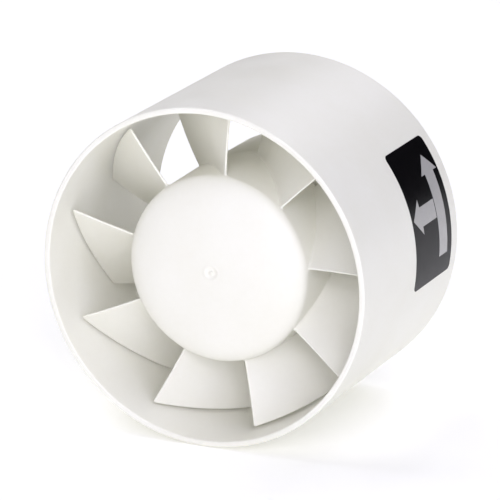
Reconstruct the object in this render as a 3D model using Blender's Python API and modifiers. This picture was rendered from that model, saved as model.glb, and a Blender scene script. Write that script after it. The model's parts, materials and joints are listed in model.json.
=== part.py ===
"""Inline duct fan for a 150 mm round duct: a short tube that holds an axial impeller and its motor.

Shapes are made in the fan's own frame, whose +Z is the fan's axis and points out of the outlet.
Along the axis they are placed by their depth behind the outlet rim. Two empties turn that frame so
that in the world the outlet faces -Y and +Z is up; the origin is the middle of the casing.
"""

import math

import bmesh
import bpy
from mathutils import Matrix, Vector

MM = 0.001
GAP = 0.3 * MM  # between pieces that touch

# Casing
CASING_RADIUS = 74 * MM
CASING_LENGTH = 105 * MM
OUTLET_BORE, INLET_BORE = 71.4 * MM, 69.7 * MM  # the bore narrows evenly, as the mould's draft
RIM_EDGE = 0.6 * MM

# Motor cup and arms, moulded with the casing
CUP_RADIUS = 41 * MM
CUP_WALL = 2.2 * MM
CUP_FRONT, CUP_REAR = 57 * MM, 91.4 * MM
BULKHEAD_FRONT, BULKHEAD_REAR = 76.5 * MM, 79 * MM
BULKHEAD_HOLE = 7 * MM
ARM_ANGLES = (90, 210, 330)
ARM_THICKNESS = 3 * MM
ARM_FRONT, ARM_REAR = 65 * MM, 90.5 * MM
ARM_ROUNDING = 1.2 * MM
ARM_SINK = 1.2 * MM  # how far an arm reaches into what it joins

# Label
LABEL_ANGLE = 13.9
LABEL_WIDTH, LABEL_HEIGHT = 60 * MM, 40.2 * MM
LABEL_DEPTH = 77.4 * MM
LABEL_CORNER = 2.5 * MM
LABEL_THICKNESS = 0.3 * MM
LABEL_CUTTER = 18 * MM  # how thick a block takes in the label's whole curve

# Impeller
HUB_RADIUS, HUB_REAR_RADIUS = 41 * MM, 41.6 * MM
HUB_WALL = 2.2 * MM
HUB_FRONT, HUB_REAR = 9.6 * MM, 54 * MM
DOME_DEPTH = 9 * MM
DOME_POWER = 2.6
GATE_RADIUS, GATE_DEPTH = 1.4 * MM, 0.5 * MM
BOSS_RADIUS, BOSS_REAR = 6.4 * MM, 27.3 * MM
BLADES = 9
BLADE_THICKNESS = 1.0 * MM
BLADE_CAMBER = 0.15
BLADE_ROOT_RADIUS, BLADE_TIP_RADIUS = 41.4 * MM, 69.8 * MM
BLADE_SINK = 1.5 * MM
# Trailing edge angle, angle swept and depths of the trailing and leading edges
BLADE_ROOT = (6.2, 40.0, 18.5 * MM, 51.8 * MM)
BLADE_TIP = (4.5, 35.7, 14.7 * MM, 50.2 * MM)

# Motor
STACK_FRONT, STACK_REAR = 42 * MM, 60 * MM
STACK_MIDDLE = (STACK_FRONT + STACK_REAR) / 2
STATOR_BORE = 12.4 * MM
ROTOR_RADIUS = 12 * MM
STATOR_HALF_WIDTH, STATOR_BOTTOM, STATOR_TOP = 21 * MM, -15 * MM, 29 * MM
WINDOW_HALF_WIDTH, WINDOW_BOTTOM = 12 * MM, 15.5 * MM
COIL_CORE_BOTTOM, COIL_CORE_TOP = 20.5 * MM, 28.5 * MM
SHAFT_RADIUS = 2.5 * MM
SHAFT_FRONT, SHAFT_REAR = 15.8 * MM, 75.2 * MM
SHAFT_FLAT = 2 * MM
MOTOR_SCREW_X = 17 * MM
CAGE_BARS = 10
CAGE_BAR_RADIUS, CAGE_BAR_CIRCLE = 0.75 * MM, 10.3 * MM
SHADING_CIRCLE, SHADING_WIRE = 14.2 * MM, 0.8 * MM
SHADING_ANGLES = (25, 62)
BRIDGE_FRONT, BRIDGE_REAR = 32.5 * MM, 34.7 * MM
BRACKET_FOOT_FRONT = 39.7 * MM
BRACKET_WIDTH = 9 * MM
BUSH_FRONT, BUSH_REAR = 31.9 * MM, 36.9 * MM
MOTOR_HOLE_RADIUS = 1.9 * MM
SPACER_RADIUS, SPACER_REAR = 3.2 * MM, 72.4 * MM
DAMPER_RADIUS = 4.2 * MM

# Rear cover and terminal compartment
COVER_REAR = 97.5 * MM
COVER_WALL = 2 * MM
COVER_FLAT = 36.5 * MM
COVER_SCREW_CIRCLE, COVER_SCREW_ANGLES = 33 * MM, (33, 213)
COVER_POST_RADIUS, COVER_POST_REAR, COVER_PILOT = 3.2 * MM, 91 * MM, 1.6 * MM
BLOCK_Y = 17 * MM
BLOCK_WIDTH, BLOCK_HEIGHT, BLOCK_REAR = 20 * MM, 14 * MM, 90.3 * MM
POLE_X, POLE_DEPTH = 5 * MM, 84 * MM
INSERT_HALF, WIRE_DEPTH = 2.3 * MM, 83.6 * MM
TERMINAL_ROW = 3.5 * MM  # from the block's middle to its screws
CLAMP_X, CLAMP_Y = 7 * MM, -22 * MM
CLAMP_POST_RADIUS, CLAMP_POST_REAR, SMALL_PILOT = 2.6 * MM, 84.5 * MM, 1.4 * MM
LEAD_HOLE_Y, LEAD_HOLE_RADIUS = 31 * MM, 3.4 * MM
CORD_DEPTH, CORD_HOLE_RADIUS, CORD_BORE = 84.2 * MM, 4.2 * MM, 3 * MM
GROMMET_FLANGE = 6.3 * MM

# Sides of round pieces
CASING_SIDES, HUB_SIDES, MEDIUM, SMALL = 60, 48, 24, 12

HEAD_TO_REAR = Matrix.Rotation(math.radians(180), 4, "X")  # turns a screw's head to the inlet end


# ---------------------------------------------------------------- shapes

def z_at(depth):
    """The height in the fan's frame of a depth behind the outlet rim."""
    return CASING_LENGTH / 2 - depth


def axial(points):
    """A turned profile given as (radius, depth) as (radius, height)."""
    return [(radius, z_at(depth)) for radius, depth in points]


def around(radius, degrees):
    """A point at an angle on a circle round the axis."""
    return Vector((radius * math.cos(math.radians(degrees)), radius * math.sin(math.radians(degrees))))


def evaluated(obj):
    """An object's shape with its modifiers applied; the object itself is removed."""
    bpy.context.view_layer.update()
    graph = bpy.context.evaluated_depsgraph_get()
    mesh = bpy.data.meshes.new_from_object(obj.evaluated_get(graph))
    bpy.data.objects.remove(obj)
    return mesh


def temporary(data):
    obj = bpy.data.objects.new("temporary", data)
    bpy.context.scene.collection.objects.link(obj)
    return obj


def from_bmesh(shape):
    mesh = bpy.data.meshes.new("shape")
    shape.to_mesh(mesh)
    shape.free()
    return mesh


def welded(mesh):
    """A curve's mesh with its loose caps joined to its sides."""
    shape = bmesh.new()
    shape.from_mesh(mesh)
    bmesh.ops.remove_doubles(shape, verts=shape.verts, dist=0.001 * MM)
    return from_bmesh(shape)


def placed(mesh, matrix):
    copy = mesh.copy()
    copy.transform(matrix)
    return copy


def turned_by(mesh, degrees, axis="Z"):
    return placed(mesh, Matrix.Rotation(math.radians(degrees), 4, axis))


def cylinder(radius, length, sides, matrix):
    shape = bmesh.new()
    bmesh.ops.create_cone(
        shape, cap_ends=True, segments=sides, radius1=radius, radius2=radius, depth=length, matrix=matrix,
    )
    return from_bmesh(shape)


def rod(radius, front, rear, sides=SMALL, at=(0, 0)):
    """A cylinder along the axis, from one depth to another."""
    return cylinder(radius, rear - front, sides, Matrix.Translation((*at, z_at((front + rear) / 2))))


def upright_rod(radius, bottom, top, depth, sides=SMALL, x=0):
    """A cylinder across the axis at a depth, from one height to another."""
    middle = Matrix.Translation((x, (bottom + top) / 2, z_at(depth)))
    return cylinder(radius, top - bottom, sides, middle @ Matrix.Rotation(math.radians(90), 4, "X"))


def block(x_range, y_range, depths):
    """A box between two x, two y and two depths."""
    size = Vector((x_range[1] - x_range[0], y_range[1] - y_range[0], depths[1] - depths[0]))
    middle = Vector((sum(x_range) / 2, sum(y_range) / 2, z_at(sum(depths) / 2)))
    shape = bmesh.new()
    bmesh.ops.create_cube(shape, size=1, matrix=Matrix.Translation(middle) @ Matrix.Diagonal((*size, 1)))
    return from_bmesh(shape)


def rounded(mesh, width, segments=2):
    """A mesh with its edges bevelled."""
    obj = temporary(mesh)
    bevel = obj.modifiers.new("Rounding", "BEVEL")
    bevel.width = width
    bevel.segments = segments
    bevel.limit_method = "ANGLE"
    return evaluated(obj)


def turned(profile, steps, closed=True):
    """A profile of (radius, height) points turned round the axis; its outer side runs top to bottom."""
    count = len(profile)
    edges = [(i, (i + 1) % count) for i in range(count if closed else count - 1)]
    mesh = bpy.data.meshes.new("profile")
    mesh.from_pydata([(radius, 0, height) for radius, height in profile], edges, [])
    obj = temporary(mesh)
    screw = obj.modifiers.new("Turn", "SCREW")
    screw.axis = "Z"
    screw.steps = screw.render_steps = steps
    screw.use_merge_vertices = True
    screw.merge_threshold = 0.001 * MM
    return evaluated(obj)


def prism(outline, thickness):
    """A flat outline in XY made thick, half of it to each side."""
    curve = bpy.data.curves.new("outline", "CURVE")
    curve.dimensions = "2D"
    curve.fill_mode = "BOTH"
    curve.extrude = thickness / 2
    spline = curve.splines.new("POLY")
    spline.points.add(len(outline) - 1)
    for point, (x, y) in zip(spline.points, outline):
        point.co = (x, y, 0, 1)
    spline.use_cyclic_u = True
    return welded(evaluated(temporary(curve)))


def plate(outline, front, rear):
    """A flat outline in XY between two depths."""
    return placed(prism(outline, rear - front), Matrix.Translation((0, 0, z_at((front + rear) / 2))))


def rectangle(width, height, corner=0, arc_steps=4):
    """A rectangle's outline, with round corners when corner is given."""
    if not corner:
        return [(x * width / 2, y * height / 2) for x, y in ((-1, -1), (1, -1), (1, 1), (-1, 1))]
    points = []
    for quarter, (x, y) in enumerate(((1, 1), (-1, 1), (-1, -1), (1, -1))):
        centre = Vector((x * (width / 2 - corner), y * (height / 2 - corner)))
        points += [centre + around(corner, 90 * (quarter + i / arc_steps)) for i in range(arc_steps + 1)]
    return points


def wire(points, radius, closed=False, resolution=2):
    """A round wire along a line of points."""
    curve = bpy.data.curves.new("route", "CURVE")
    curve.dimensions = "3D"
    curve.bevel_depth = radius
    curve.bevel_resolution = resolution
    curve.use_fill_caps = not closed
    spline = curve.splines.new("POLY")
    spline.points.add(len(points) - 1)
    for point, place in zip(spline.points, points):
        point.co = (*place, 1)
    spline.use_cyclic_u = closed
    return welded(evaluated(temporary(curve)))


def smooth_line(knots, per_span=3):
    """Points on a Catmull-Rom curve through the knots."""
    knots = [Vector(k) for k in knots]
    ends = [2 * knots[0] - knots[1]] + knots + [2 * knots[-1] - knots[-2]]
    line = []
    for before, start, end, after in zip(ends, ends[1:], ends[2:], ends[3:]):
        for i in range(per_span):
            t = i / per_span
            line.append(
                0.5 * (2 * start + (end - before) * t
                       + (2 * before - 5 * start + 4 * end - after) * t ** 2
                       + (3 * start - before - 3 * end + after) * t ** 3)
            )
    return line + [knots[-1]]


def combined(operation, base, tools):
    obj = temporary(base)
    helpers = [temporary(tool) for tool in tools]
    for helper in helpers:
        boolean = obj.modifiers.new(operation.title(), "BOOLEAN")
        boolean.operation = operation
        boolean.solver = "EXACT"
        boolean.object = helper
    mesh = evaluated(obj)
    for helper in helpers:
        bpy.data.objects.remove(helper)
    return mesh


def joined(base, *tools):
    return combined("UNION", base, tools)


def cut(base, *tools):
    return combined("DIFFERENCE", base, tools)


def common(base, *tools):
    return combined("INTERSECT", base, tools)


# ---------------------------------------------------------------- scene

def clear_scene():
    for obj in list(bpy.data.objects):
        bpy.data.objects.remove(obj)


def material(name, colour, roughness, metallic=0.0):
    made = bpy.data.materials.new(name)
    made.use_nodes = True
    shader = made.node_tree.nodes["Principled BSDF"]
    shader.inputs["Base Color"].default_value = (*colour, 1)
    shader.inputs["Roughness"].default_value = roughness
    shader.inputs["Metallic"].default_value = metallic
    return made


def frame_empty(name, collection):
    """An empty whose +Z is the fan's axis, out of the outlet, and whose +Y is up."""
    empty = bpy.data.objects.new(name, None)
    empty.rotation_euler = (math.radians(90), 0, 0)
    collection.objects.link(empty)
    return empty


class Assembly:
    """Makes the named parts under the casing's empty or the impeller's."""

    def __init__(self, name):
        self.collection = bpy.data.collections.new(name)
        bpy.context.scene.collection.children.link(self.collection)
        self.fixed = frame_empty("casing_axis", self.collection)
        self.spinning = frame_empty("impeller_axis", self.collection)

    def add(self, name, mesh, finish, spins=False, at=(0, 0, 0), turn=0):
        """A part of its own, at a place in the fan's frame and turned about its own Z."""
        mesh.shade_smooth()
        mesh.set_sharp_from_angle(angle=math.radians(30))
        mesh.materials.clear()
        mesh.materials.append(finish)
        obj = bpy.data.objects.new(name, mesh)
        obj.parent = self.spinning if spins else self.fixed
        obj.location = at
        obj.rotation_euler = (0, 0, math.radians(turn))
        self.collection.objects.link(obj)


def finishes():
    return {
        "plastic": material("white_plastic", (0.85, 0.85, 0.81), 0.42),
        "label": material("label_film", (0.015, 0.016, 0.03), 0.35),
        "lamination": material("lamination_steel", (0.32, 0.33, 0.35), 0.45, 0.9),
        "steel": material("bright_steel", (0.62, 0.62, 0.63), 0.25, 1),
        "copper": material("copper_wire", (0.72, 0.35, 0.18), 0.35, 0.9),
        "nylon": material("natural_nylon", (0.75, 0.72, 0.62), 0.5),
        "bronze": material("sintered_bronze", (0.55, 0.38, 0.2), 0.55, 0.9),
        "felt": material("oil_felt", (0.35, 0.3, 0.22), 0.95),
        "zinc": material("die_cast_zinc", (0.55, 0.56, 0.58), 0.5, 0.9),
        "aluminium": material("cast_aluminium", (0.7, 0.71, 0.72), 0.45, 0.9),
        "rubber": material("grey_rubber", (0.12, 0.12, 0.12), 0.8),
        "brass": material("terminal_brass", (0.72, 0.55, 0.25), 0.3, 1),
        "terminal": material("terminal_plastic", (0.82, 0.82, 0.8), 0.5),
        "fibre": material("washer_fibre", (0.6, 0.52, 0.36), 0.7),
        "blue": material("blue_insulation", (0.05, 0.16, 0.5), 0.5),
        "brown": material("brown_insulation", (0.2, 0.08, 0.03), 0.5),
        "fuse": material("fuse_sleeve", (0.7, 0.7, 0.66), 0.5),
    }


# ---------------------------------------------------------------- casing

def bore_at(depth):
    return OUTLET_BORE + (INLET_BORE - OUTLET_BORE) * depth / CASING_LENGTH


def casing_wall():
    near_inlet = CASING_LENGTH - RIM_EDGE
    return turned(axial([
        (CASING_RADIUS - RIM_EDGE, 0),
        (CASING_RADIUS, RIM_EDGE),
        (CASING_RADIUS, near_inlet),
        (CASING_RADIUS - RIM_EDGE, CASING_LENGTH),
        (INLET_BORE + RIM_EDGE, CASING_LENGTH),
        (bore_at(near_inlet), near_inlet),
        (bore_at(RIM_EDGE), RIM_EDGE),
        (OUTLET_BORE + RIM_EDGE, 0),
    ]), CASING_SIDES)


def motor_cup():
    bore = CUP_RADIUS - CUP_WALL
    return turned(axial([
        (CUP_RADIUS, CUP_FRONT),
        (CUP_RADIUS, CUP_REAR),
        (bore, CUP_REAR),
        (bore, BULKHEAD_REAR),
        (BULKHEAD_HOLE, BULKHEAD_REAR),
        (BULKHEAD_HOLE, BULKHEAD_FRONT),
        (bore, BULKHEAD_FRONT),
        (bore, CUP_FRONT),
    ]), HUB_SIDES)


def motor_arms():
    arm = rounded(block(
        (CUP_RADIUS - ARM_SINK, CASING_RADIUS - ARM_SINK),
        (-ARM_THICKNESS / 2, ARM_THICKNESS / 2),
        (ARM_FRONT, ARM_REAR),
    ), ARM_ROUNDING)
    return [turned_by(arm, angle) for angle in ARM_ANGLES]


def label_prism(margin, corner):
    """A block through the wall with the label's outline, larger than the label by a margin."""
    outline = rectangle(LABEL_WIDTH + 2 * margin, LABEL_HEIGHT + 2 * margin, corner)
    upright = turned_by(turned_by(prism(outline, LABEL_CUTTER), 90, "X"), 90, "Z")
    radial = Vector((*around(CASING_RADIUS, LABEL_ANGLE), z_at(LABEL_DEPTH)))
    return placed(upright, Matrix.Translation(radial) @ Matrix.Rotation(math.radians(LABEL_ANGLE), 4, "Z"))


def label_ring(inner, outer):
    front, rear = LABEL_DEPTH - LABEL_HEIGHT, LABEL_DEPTH + LABEL_HEIGHT
    return turned(axial([(outer, front), (outer, rear), (inner, rear), (inner, front)]), CASING_SIDES)


def add_casing(fan, finish):
    posts, holes = [], []
    for angle in COVER_SCREW_ANGLES:
        place = around(COVER_SCREW_CIRCLE, angle)
        posts.append(rod(COVER_POST_RADIUS, BULKHEAD_FRONT + GAP, COVER_POST_REAR, at=place))
        holes.append(rod(COVER_PILOT, BULKHEAD_REAR + 4 * MM, CUP_REAR, at=place))
    for side in (-1, 1):
        place = (side * CLAMP_X, CLAMP_Y)
        posts.append(rod(CLAMP_POST_RADIUS, BULKHEAD_FRONT + GAP, CLAMP_POST_REAR, at=place))
        holes.append(rod(SMALL_PILOT, BULKHEAD_REAR + MM, CUP_REAR, at=place))
        holes.append(rod(MOTOR_HOLE_RADIUS, CUP_FRONT, CUP_REAR, at=(side * MOTOR_SCREW_X, 0)))
    holes.append(rod(LEAD_HOLE_RADIUS, CUP_FRONT, CUP_REAR, at=(0, LEAD_HOLE_Y)))
    holes.append(rod(SMALL_PILOT, CUP_FRONT, CUP_REAR, at=(0, BLOCK_Y)))
    # The supply cord's way in, through the lowest point of the casing and the cup
    holes.append(upright_rod(CORD_HOLE_RADIUS, -CASING_RADIUS - MM, -CUP_RADIUS / 2, CORD_DEPTH, MEDIUM))
    holes.append(common(
        label_prism(GAP, LABEL_CORNER + GAP),
        label_ring(CASING_RADIUS - LABEL_THICKNESS - GAP, CASING_RADIUS + MM),
    ))
    shell = cut(joined(casing_wall(), motor_cup(), *motor_arms(), *posts), *holes)
    fan.add("casing", shell, finish["plastic"])
    label = common(label_prism(0, LABEL_CORNER), label_ring(CASING_RADIUS - LABEL_THICKNESS, CASING_RADIUS))
    fan.add("label", label, finish["label"])


def rear_cover():
    shoulder_depth = 4.5 * MM
    shoulder_width = CUP_RADIUS - COVER_FLAT
    shoulder = [
        (COVER_FLAT + shoulder_width * math.cos(turn), COVER_REAR - shoulder_depth * (1 - math.sin(turn)))
        for turn in (math.radians(90 * i / 3) for i in range(4))
    ]
    skirt_outer, skirt_inner, skirt_front = CUP_RADIUS - CUP_WALL - GAP, 37.1 * MM, CUP_REAR - 1.9 * MM
    inside, inside_edge = COVER_REAR - COVER_WALL, 1.5 * MM
    skin = turned(axial([
        (0, inside),
        (skirt_inner - inside_edge, inside),
        (skirt_inner, inside - inside_edge),
        (skirt_inner, skirt_front),
        (skirt_outer, skirt_front),
        (skirt_outer, CUP_REAR + GAP),
        (CUP_RADIUS, CUP_REAR + GAP),
        *shoulder,
        (0, COVER_REAR),
    ]), HUB_SIDES, closed=False)
    sleeves, holes = [], []
    for angle in COVER_SCREW_ANGLES:
        place = around(COVER_SCREW_CIRCLE, angle)
        sleeves.append(rod(COVER_POST_RADIUS, COVER_POST_REAR + GAP, inside + MM, at=place))
        holes.append(rod(COVER_PILOT, BULKHEAD_REAR, CASING_LENGTH, at=place))
    return cut(joined(skin, *sleeves), *holes)


# ---------------------------------------------------------------- fasteners

def screw(head_radius, head_height, shank_radius, shank_length):
    """A pan head screw with a cross recess; its head's underside is at its origin, the shank below."""
    rim = 0.35 * head_height
    body = turned([
        (0, head_height),
        (0.6 * head_radius, 0.92 * head_height),
        (0.9 * head_radius, 0.7 * head_height),
        (head_radius, rim),
        (head_radius, 0),
        (shank_radius, 0),
        (shank_radius, -shank_length + shank_radius),
        (0.4 * shank_radius, -shank_length),
        (0, -shank_length),
    ], SMALL, closed=False)
    arm, half = 0.55 * head_radius, 0.14 * head_radius
    floor, above = z_at(0.45 * head_height), z_at(1.5 * head_height)
    slots = [
        block((-arm, arm), (-half, half), (above, floor)),
        block((-half, half), (-arm, arm), (above, floor)),
    ]
    return cut(body, *slots)


def hex_nut(radius, hole_radius, front, rear):
    return cut(rod(radius, front, rear, sides=6), rod(hole_radius, front - MM, rear + MM))


def ring(outer, inner, front, rear, sides=MEDIUM):
    """A plain washer or sleeve on the axis."""
    return turned(axial([(outer, front), (outer, rear), (inner, rear), (inner, front)]), sides)


def add_pair(fan, name, mesh, finish, spots):
    """Copies of one piece, sharing its mesh, at (x, y, height) spots and numbered from 1."""
    for number, spot in enumerate(spots, 1):
        fan.add(f"{name}_{number}", mesh, finish, at=spot)


# ---------------------------------------------------------------- impeller

def hub_outside():
    """The front of the hub: nearly flat, then rounding into the side, as a superellipse."""
    steps = 8
    points = []
    for i in range(1, steps + 1):
        turn = math.radians(90 * i / steps)
        radius = HUB_RADIUS * math.sin(turn) ** (2 / DOME_POWER)
        fall = DOME_DEPTH * (1 - math.cos(turn) ** (2 / DOME_POWER))
        if radius > 2 * GATE_RADIUS:
            points.append((radius, HUB_FRONT + fall))
    return points


def hub_shell():
    outside = hub_outside()
    narrow = (HUB_RADIUS - HUB_WALL) / HUB_RADIUS
    inside = [(radius * narrow, depth + HUB_WALL) for radius, depth in reversed(outside)]
    inside = [point for point in inside if point[0] > BOSS_RADIUS + 2 * MM]
    floor = inside[-1][1]
    return turned(axial([
        (0, HUB_FRONT + GATE_DEPTH),
        (0.7 * GATE_RADIUS, HUB_FRONT + GATE_DEPTH),
        (GATE_RADIUS, HUB_FRONT),
        *outside,
        (HUB_REAR_RADIUS, HUB_REAR),
        (HUB_REAR_RADIUS - HUB_WALL, HUB_REAR),
        *inside,
        (BOSS_RADIUS, floor),
        (BOSS_RADIUS, BOSS_REAR),
        (SHAFT_RADIUS + GAP, BOSS_REAR),
        (SHAFT_RADIUS + GAP, SHAFT_FRONT - GAP),
        (0, SHAFT_FRONT - GAP),
    ]), HUB_SIDES, closed=False)


def blade_point(chord, span):
    """A point of the blade's middle surface: chord from trailing to leading edge, span root to tip."""
    start, sweep, front, rear = (
        root + (tip - root) * span for root, tip in zip(BLADE_ROOT, BLADE_TIP)
    )
    radius = BLADE_ROOT_RADIUS + (BLADE_TIP_RADIUS - BLADE_ROOT_RADIUS) * span
    depth = front + (rear - front) * ((1 + BLADE_CAMBER) * chord - BLADE_CAMBER * chord ** 2)
    return (*around(radius, start + sweep * chord), z_at(depth))


def blade():
    """A twisted sheet lofted from root to tip and made thick."""
    chords, spans = 7, 2
    first_span = -BLADE_SINK / (BLADE_TIP_RADIUS - BLADE_ROOT_RADIUS)
    shape = bmesh.new()
    rows = []
    for j in range(spans + 1):
        span = first_span + (1 - first_span) * j / spans
        rows.append([shape.verts.new(blade_point(i / chords, span)) for i in range(chords + 1)])
    for low, high in zip(rows, rows[1:]):
        for i in range(chords):
            shape.faces.new((low[i], low[i + 1], high[i + 1], high[i]))
    obj = temporary(from_bmesh(shape))
    solidify = obj.modifiers.new("Thickness", "SOLIDIFY")
    solidify.thickness = BLADE_THICKNESS
    solidify.offset = 0
    return evaluated(obj)


def add_impeller(fan, finish):
    one_blade = blade()
    blades = [turned_by(one_blade, 360 / BLADES * i) for i in range(BLADES)]
    flat = block(
        (SHAFT_FLAT + GAP, SHAFT_RADIUS + MM), (-SHAFT_RADIUS, SHAFT_RADIUS),
        (SHAFT_FRONT - MM, BOSS_REAR - MM),
    )
    impeller = joined(hub_shell(), *blades, flat)
    fan.add("impeller", impeller, finish["plastic"], spins=True)
    clip_radius, clip_wire, clip_depth = BOSS_RADIUS + MM, 0.7 * MM, BOSS_REAR - 2 * MM
    clip_line = [(*around(clip_radius, 20 + 320 * i / 16), z_at(clip_depth)) for i in range(17)]
    fan.add("hub_clamp_ring", wire(clip_line, clip_wire), finish["steel"], spins=True)


# ---------------------------------------------------------------- motor

def add_rotor(fan, finish):
    shaft = rod(SHAFT_RADIUS, SHAFT_FRONT, SHAFT_REAR, MEDIUM)
    flat = block(
        (SHAFT_FLAT, SHAFT_RADIUS + MM), (-SHAFT_RADIUS - MM, SHAFT_RADIUS + MM),
        (SHAFT_FRONT - MM, BOSS_REAR - MM + GAP),
    )
    fan.add("shaft", cut(shaft, flat), finish["steel"], spins=True)

    core_front, core_rear = STACK_FRONT + 0.2 * MM, STACK_REAR - 0.2 * MM
    slots, bars = [], []
    for i in range(CAGE_BARS):
        place = around(CAGE_BAR_CIRCLE, 360 / CAGE_BARS * i)
        slots.append(rod(CAGE_BAR_RADIUS + GAP, core_front - MM, core_rear + MM, 10, place))
        bars.append(rod(CAGE_BAR_RADIUS, core_front - MM, core_rear + MM, 8, place))
    core = ring(ROTOR_RADIUS, SHAFT_RADIUS + GAP, core_front, core_rear)
    fan.add("rotor_core", cut(core, *slots), finish["lamination"], spins=True)

    ring_depth, outer, inner = 2.5 * MM, ROTOR_RADIUS - 0.4 * MM, 7.6 * MM
    front_ring = ring(outer, inner, core_front - GAP - ring_depth, core_front - GAP)
    rear_ring = ring(outer, inner, core_rear + GAP, core_rear + GAP + ring_depth)
    fan.add("rotor_cage", joined(front_ring, *bars, rear_ring), finish["aluminium"], spins=True)

    for name, middle in (("front_thrust_washer", 38.5 * MM), ("rear_thrust_washer", 63.5 * MM)):
        washer = ring(4.6 * MM, SHAFT_RADIUS + 0.1 * MM, middle - 0.5 * MM, middle + 0.5 * MM)
        fan.add(name, washer, finish["fibre"], spins=True)


def stator_core():
    """A C-shaped stack: two legs that hold the coil's core, and the poles round the rotor."""
    half, window = STATOR_HALF_WIDTH, WINDOW_HALF_WIDTH
    chamfer = 3 * MM
    outline = [
        (-half + chamfer, STATOR_BOTTOM), (half - chamfer, STATOR_BOTTOM), (half, STATOR_BOTTOM + chamfer),
        (half, STATOR_TOP), (window, STATOR_TOP), (window, WINDOW_BOTTOM),
        (-window, WINDOW_BOTTOM), (-window, STATOR_TOP), (-half, STATOR_TOP), (-half, STATOR_BOTTOM + chamfer),
    ]
    stack = plate(outline, STACK_FRONT, STACK_REAR)
    through = (STACK_FRONT - MM, STACK_REAR + MM)
    holes = [rod(STATOR_BORE, *through, MEDIUM)]
    holes += [rod(MOTOR_HOLE_RADIUS, *through, at=(side * MOTOR_SCREW_X, 0)) for side in (-1, 1)]
    for half_turn in (0, 180):
        for angle in SHADING_ANGLES:
            place = around(SHADING_CIRCLE, angle + half_turn)
            holes.append(rod(SHADING_WIRE + GAP, *through, 12, place))
    return cut(stack, *holes)


def shading_ring():
    """A heavy copper loop round one tip of a pole."""
    first, second = (around(SHADING_CIRCLE, angle) for angle in SHADING_ANGLES)
    front, rear = STACK_FRONT - 1.3 * MM, STACK_REAR + 1.3 * MM
    corners = [(first, front), (second, front), (second, rear), (first, rear)]
    return wire([(*place, z_at(depth)) for place, depth in corners], SHADING_WIRE, closed=True)


def bobbin_box(grow, x_half):
    """A box round the coil's core, larger than it by a margin on four sides."""
    return block(
        (-x_half, x_half),
        (COIL_CORE_BOTTOM - grow, COIL_CORE_TOP + grow),
        (STACK_FRONT - grow, STACK_REAR + grow),
    )


def add_stator(fan, finish):
    fan.add("stator_core", stator_core(), finish["lamination"])
    fan.add("coil_core", bobbin_box(0, WINDOW_HALF_WIDTH - GAP), finish["lamination"])
    spool_half, flange = WINDOW_HALF_WIDTH - 2 * GAP, 1.2 * MM
    tube_wall, flange_reach, winding_reach = 1.3 * MM, 4.6 * MM, 4.2 * MM
    flanges = [
        placed(bobbin_box(flange_reach, flange / 2), Matrix.Translation((side * (spool_half - flange / 2), 0, 0)))
        for side in (-1, 1)
    ]
    spool = joined(bobbin_box(tube_wall, spool_half - flange / 2), *flanges)
    fan.add("bobbin", cut(spool, bobbin_box(GAP, 2 * spool_half)), finish["nylon"])
    winding_half = spool_half - flange - GAP
    winding = rounded(bobbin_box(winding_reach, winding_half), 1.2 * MM)
    fan.add("winding", cut(winding, bobbin_box(tube_wall + GAP, 2 * spool_half)), finish["copper"])
    fuse_radius, fuse_half = 1.6 * MM, 5.5 * MM
    fuse = turned([
        (0, fuse_half), (fuse_radius, fuse_half - 0.5 * MM), (fuse_radius, -fuse_half + 0.5 * MM), (0, -fuse_half),
    ], SMALL, closed=False)
    fuse_depth = STACK_FRONT - winding_reach - GAP - fuse_radius
    lying = Matrix.Translation((0, 25 * MM, z_at(fuse_depth))) @ Matrix.Rotation(math.radians(90), 4, "Y")
    fan.add("thermal_fuse", placed(fuse, lying), finish["fuse"])
    one_ring = shading_ring()
    for number, half_turn in ((1, 0), (2, 180)):
        fan.add(f"shading_ring_{number}", one_ring, finish["copper"], turn=half_turn)


def bearing_bracket():
    """The front bracket: a bridge over the rotor with a boss for the bush."""
    half, foot_inside, leg, foot_rear = STATOR_HALF_WIDTH, 12 * MM, 1.5 * MM, STACK_FRONT - GAP
    side = [
        (half, foot_rear), (half, BRACKET_FOOT_FRONT), (foot_inside + leg, BRACKET_FOOT_FRONT),
        (foot_inside + leg, BRIDGE_FRONT + MM), (foot_inside + leg - MM, BRIDGE_FRONT),
    ]
    inner = [(foot_inside, BRIDGE_REAR), (foot_inside, foot_rear)]
    right = [(x, z_at(depth)) for x, depth in side]
    right_inner = [(x, z_at(depth)) for x, depth in inner]
    outline = right + [(-x, z) for x, z in reversed(right)]
    outline += [(-x, z) for x, z in reversed(right_inner)] + right_inner
    bridge = turned_by(prism(outline, BRACKET_WIDTH), 90, "X")
    boss_front, boss_rear = BUSH_FRONT - 2.2 * MM, BUSH_REAR - GAP
    boss = rod(7.6 * MM, boss_front, boss_rear, MEDIUM)
    bore = rod(4.6 * MM, boss_front - MM, boss_rear + MM, MEDIUM)
    felt_seat = rod(6.2 * MM, boss_front - MM, BUSH_FRONT - GAP, MEDIUM)
    screw_holes = [
        rod(MOTOR_HOLE_RADIUS, BRIDGE_FRONT, STACK_FRONT, at=(side * MOTOR_SCREW_X, 0)) for side in (-1, 1)
    ]
    return cut(joined(bridge, boss), bore, felt_seat, *screw_holes)


def bush():
    bore, end, belly, taper = SHAFT_RADIUS + 0.07 * MM, 3.6 * MM, 4.3 * MM, 1.3 * MM
    return turned(axial([
        (end, BUSH_FRONT), (belly, BUSH_FRONT + taper), (belly, BUSH_REAR - taper), (end, BUSH_REAR),
        (bore, BUSH_REAR), (bore, BUSH_FRONT),
    ]), MEDIUM)


def behind_stack(mesh):
    """A front piece's shape turned round to the rear of the stack."""
    middle = Matrix.Translation((0, 0, z_at(STACK_MIDDLE)))
    return placed(mesh, middle @ Matrix.Rotation(math.radians(180), 4, "Y") @ middle.inverted())


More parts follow.
